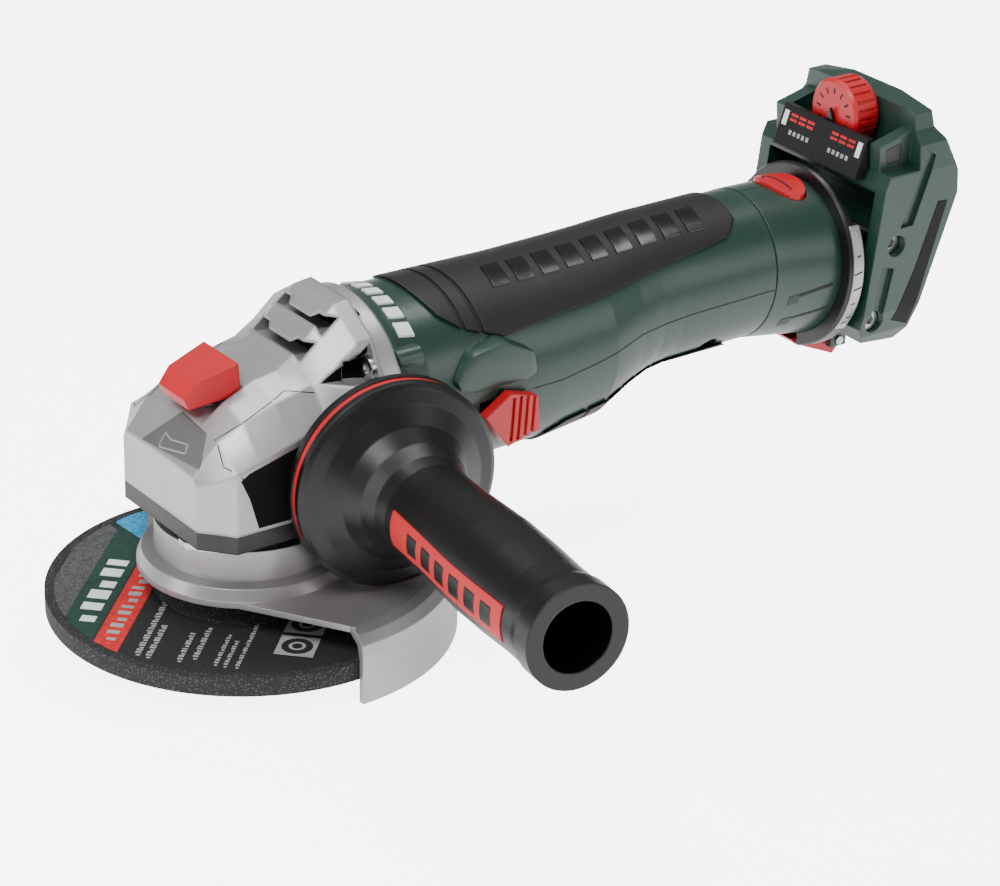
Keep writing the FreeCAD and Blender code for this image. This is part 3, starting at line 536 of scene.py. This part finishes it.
strokes("disc_mark_large", 42.2, 6.6, -36, 9, 6, PRINT)
strokes("disc_mark_red", 31.6, 4.0, -46, 4, 12, PRINT_GREY, 0.5)
for index, (v, height, start, stop) in enumerate([(21, 1.9, -53.5, -11), (17.5, 1.9, -54.5, -33),
                                                  (7.9, 1.7, -55, -36), (3.7, 1.7, -52.6, -32), (-3.2, 1.3, -55, -35),
                                                  (-6.2, 1.3, -55.4, -38), (-9.8, 1.3, -55.4, -17)]):
    strokes("disc_print_%d" % index, v, height, start, stop, int((stop - start) / 1.5), PRINT_GREY)
for index, u in enumerate((-24.3, -38.3)):
    square = [on_disc(u + a * 6, -24.5 + b * 6) for a, b in ((-1, -1), (1, -1), (1, 1), (-1, 1))]
    prism("disc_sign_%d" % index, square, DISC_TOP + 0.05, DISC_TOP + 0.1, PRINT_GREY, "disc_drive",
          bevel=0)
    centre = on_disc(u, -24.5)
    lathe("disc_sign_disc_%d" % index, [(0.01, DISC_TOP + 0.1), (4.8, DISC_TOP + 0.1), (4.8, DISC_TOP + 0.14),
                                        (0.01, DISC_TOP + 0.14)], PAPER, "disc_drive",
          Matrix.Translation(Vector((centre[0], centre[1], 0)) * MM), 32)
    lathe("disc_sign_dot_%d" % index, [(1.6, DISC_TOP + 0.14), (2.6, DISC_TOP + 0.14), (2.6, DISC_TOP + 0.17),
                                       (1.6, DISC_TOP + 0.17)], PRINT_GREY, "disc_drive",
          Matrix.Translation(Vector((centre[0], centre[1], 0)) * MM), 32)

# ---------------------------------------------------------------- gear head details
HEAD = ["gear_housing"]
for sign, word in ((-1, "left"), (1, "right")):
    side = (0, -sign, 0)
    y = 60 * sign
    if sign < 0:
        rear = [(16, y, 74), (29, y, 74), (29, y, 47.2)]
    else:
        rear = [(11.4, y, 73.2), (11.4, y, 47.2)]
    pocket = [(-17.5, y, 57.5), (-20.5, y, 64.2), (-17.5, y, 66), (7, y, 72.4)] + rear + [(-14.5, y, 47.2)]
    # Dark sheet over the side pocket: painted shade of the pocket.
    patch_on("head_pocket_shade_" + word, HEAD, pocket, side, CAST_RECESS_PAINTED_SHADE, "tool", lift=0.1, cell=3)
    down = (0, -sign * 0.5, -0.87)
    line_on("head_parting_" + word, HEAD,
            [(-16, 30.9 * sign, 60), (-23.4, 30.9 * sign, 69.4), (-22, 26 * sign, 76), (2, 26 * sign, 86),
             (10, 27.5 * sign, 84)], (0, -sign, -0.35), 0.35, GROOVE, "tool")
SIGHT = (0.531, 0.732, -0.428)
# Darker grey patch on the front of the head: painted shade of the recessed inset.
inset = [(-27, 15, 61.6), (-27, -7.1, 79.5), (-27, -21.1, 77.7), (-27, -18.6, 64.6)]
patch_on("head_inset_shade", HEAD, inset, SIGHT, CAST_INSET_PAINTED_SHADE, "tool", lift=0.08, cell=2)
mark = [(-27, 4.2, 64.3), (-27, 1.6, 69.1), (-27, -1.9, 68.1), (-27, -11.5, 70.2), (-27, -10.2, 66.7), (-27, 4.3, 63.3)]
line_on("head_mark", HEAD, mark, SIGHT, 0.6, CAST, "tool", closed=True, lift=0.00018)
zigzag = [(-13.6, 1.9), (-8, 1.9), (-6, 0.4), (6, 0.4), (8, 1.9), (13.6, 1.9)]
forward = Matrix(((0, 0, 1, 0), (1, 0, 0, 0), (0, 1, 0, 0), (0, 0, 0, 1)))
# Near-black plates in the vent openings: painted shade inside the vents.
for index, (x, z) in enumerate(((24.4, 87), (32.4, 93.5))):
    edge = [(y, z + d) for y, d in zigzag]
    plate = edge + [(y, top + 4.4) for y, top in reversed(edge)]
    prism("vent_opening_shade_%d" % index, plate, x - 4.5, x, CAST_RECESS_PAINTED_SHADE, "tool", forward, bevel=0)
for sign, word in ((-1, "left"), (1, "right")):
    wall = [(12.6, 60 * sign, 84.9), (29, 60 * sign, 94), (29, 60 * sign, 82.8)]
    # Dark sheet over the screw recess: painted shade of the recess.
    patch_on("screw_recess_shade_" + word, HEAD, wall, (0, -sign, 0), CAST_RECESS_PAINTED_SHADE, "tool", lift=0.1, cell=2)

# ---------------------------------------------------------------- housing details
SHELLS = ["upper_housing", "lower_housing"]
PAD = ["grip_pad_top"]
for index in range(6):
    y = -21 + 5.6 * index
    block = [(41.5, y, 160), (47.2, y, 160), (47.2, y + 3.6, 160), (41.5, y + 3.6, 160)]
    patch_on("collar_block_%d" % index, SHELLS, block, (0, 0, -1), PRINT, "tool", lift=0.6, cell=2)
for index in range(9):
    x = 82 + 9.6 * index
    lean = 1.8
    cell = [(x, -13.5, 160), (x + 6.4, -13.5, 160), (x + 6.4 + lean, -3.5, 160), (x + lean, -3.5, 160)]
    patch_on("pad_block_%d" % index, PAD, cell, (0, 0, -1), GLOSS, "tool", lift=0.45, cell=2)
left_seam = [(86.5, -60, 68), (97, -60, 68), (112, -60, 70), (131, -60, 74), (156, -60, 75.4), (186.5, -60, 76.1)]
for sign, word in ((1, "left"), (-1, "right")):
    points = [(x, y * sign, z) for x, y, z in left_seam]
    line_on("shell_seam_" + word, SHELLS, points, (0, sign, 0), 0.4, GROOVE, "tool")
hood = [(55.5, 77.5), (63, 85.5), (74, 87.5), (85.5, 81.5), (87, 73.8), (82.5, 72.2), (63, 72.2), (57.5, 74)]
to_side = Matrix(((1, 0, 0, 0), (0, 0, -1, 0), (0, 1, 0, 0), (0, 0, 0, 1)))
prism("switch_hood", hood, 24, 32.4, GREEN, "tool", to_side, bevel=2.2)

# ---------------------------------------------------------------- handle details
grip_way = Vector((-0.1219, -0.9925, 0.0122)).normalized()
grip_start = Vector((25.7, -46, 56.5))
for index in range(6):
    s = 33 + 9.2 * index
    spot = grip_start + grip_way * s
    spot.x = -60
    block = [spot + grip_way * a + Vector((0, 0, b)) for a, b in ((0, -3.2), (5.6, -3.2), (5.6, 3), (0, 3))]
    patch_on("badge_block_%d" % index, ["handle_badge"], block, (1, 0, 0), GRIP, "tool", lift=0.12,
             cell=2)

# ---------------------------------------------------------------- tail details
TAILS = ["tail_shell_left", "tail_shell_right"]
for sign, word in ((-1, "left"), (1, "right")):
    for index, (z, drop) in enumerate(((73.5, 1.6), (64.5, 1.6))):
        y = 60 * sign
        line_on("tail_slot_%s_%d" % (word, index), TAILS, [(193.5, y, z - 2), (210.5, y, z)], (0, -sign, 0), 1.3,
                GROOVE, "tail")
        square = [(193, y, z - 4.6), (197, y, z - 4.3), (197, y, z - 1), (193, y, z - 1.3)]
        # Dark green square: painted shade of the small inset at the slot.
        patch_on("tail_inset_shade_%s_%d" % (word, index), TAILS, square, (0, -sign, 0), GREEN_RECESS_PAINTED_SHADE, "tail",
                 lift=0.1)
for sign, word in ((-1, "left"), (1, "right")):
    strip = [(253.6, 60 * sign, 96), (240.6, 60 * sign, 54), (233, 60 * sign, 57), (241, 60 * sign, 73.6),
             (249.6, 60 * sign, 96.4)]
    patch_on("foot_strip_" + word, TAILS, strip, (0, -sign, 0), FOOT_BLACK, "tail", lift=0.12, cell=3)
for sign, word in ((-1, "left"), (1, "right")):
    y = 60 * sign
    wing = [(229.9, y, 116.4), (236.4, y, 117.8), (236.4, y, 111.4), (230.4, y, 111.4)]
    patch_on("dial_wing_" + word, TAILS, wing, (0, -sign, 0), BLACK, "tail", lift=0.1, cell=3)
arrow = [(206.5, -7.5, 140), (206.5, 7, 140), (203.8, 4.2, 140)]
line_on("button_arrow", ["swivel_button"], arrow, (0, 0, -1), 0.9, GROOVE, "tail_button")
line_on("tail_top_seam", TAILS, [(188.4, 0.0, 140), (198.4, 0.0, 140)], (0, 0, -1), 0.3, GROOVE, "tail")
PANEL = ["dial_panel"]
for sign, word in ((-1, "near"), (1, "far")):
    for row in range(2):
        for k in range(3):
            y = sign * (4.5 + 4.2 * k)
            z = 114.6 + row * 1.6
            bar = [(180, y, z), (180, y + sign * 3.4, z), (180, y + sign * 3.4, z + 0.9), (180, y, z + 0.9)]
            patch_on("panel_bar_%s_%d_%d" % (word, row, k), PANEL, bar, (1, 0, 0), RED, "tail",
                     lift=0.12)
    cap = [(180, sign * 17.6, 112.6), (180, sign * 19.8, 112.6), (180, sign * 19.8, 117.4), (180, sign * 17.6, 117.4)]
    patch_on("panel_cap_" + word, PANEL, cap, (1, 0, 0), PRINT, "tail", lift=0.14)
    for k in range(5):
        y = sign * (5 + 2.2 * k)
        tick = [(180, y, 110.4), (180, y + sign * 1.3, 110.4), (180, y + sign * 1.3, 111.8), (180, y, 111.8)]
        patch_on("panel_tick_%s_%d" % (word, k), PANEL, tick, (1, 0, 0), PRINT_GREY, "tail",
                 lift=0.12)
pointer = [(-2.6, -2.8), (2.6, -2.8), (0, 3.4)]
prism("panel_pointer", pointer, 0, 1.2, BLACK, "tail",
      frame_at((228.7, 0, 120.2), (-1, 0, 0)), bevel=0.2)
for k in range(11):
    angle = math.radians(-50 + 28 * k)
    c, d = math.cos(angle), math.sin(angle)
    lines = [(180, 8.6 * c, 121.5 + 8.6 * d), (180, 6.4 * c, 121.5 + 6.4 * d)]
    line_on("dial_mark_%d" % k, ["speed_dial"], lines, (1, 0, 0), 0.7, GROOVE, "dial")
for sign, word in ((-1, "left"), (1, "right")):
    for k in range(5):
        z = 61.5 + 5.4 * k
        fold = [(213.5, 60 * sign, z - 0.9), (222, 60 * sign, z + 0.6)]
        line_on("filter_fold_%s_%d" % (word, k), ["filter_meshes"], fold, (0, -sign, 0), 0.55, GROOVE, "tail")
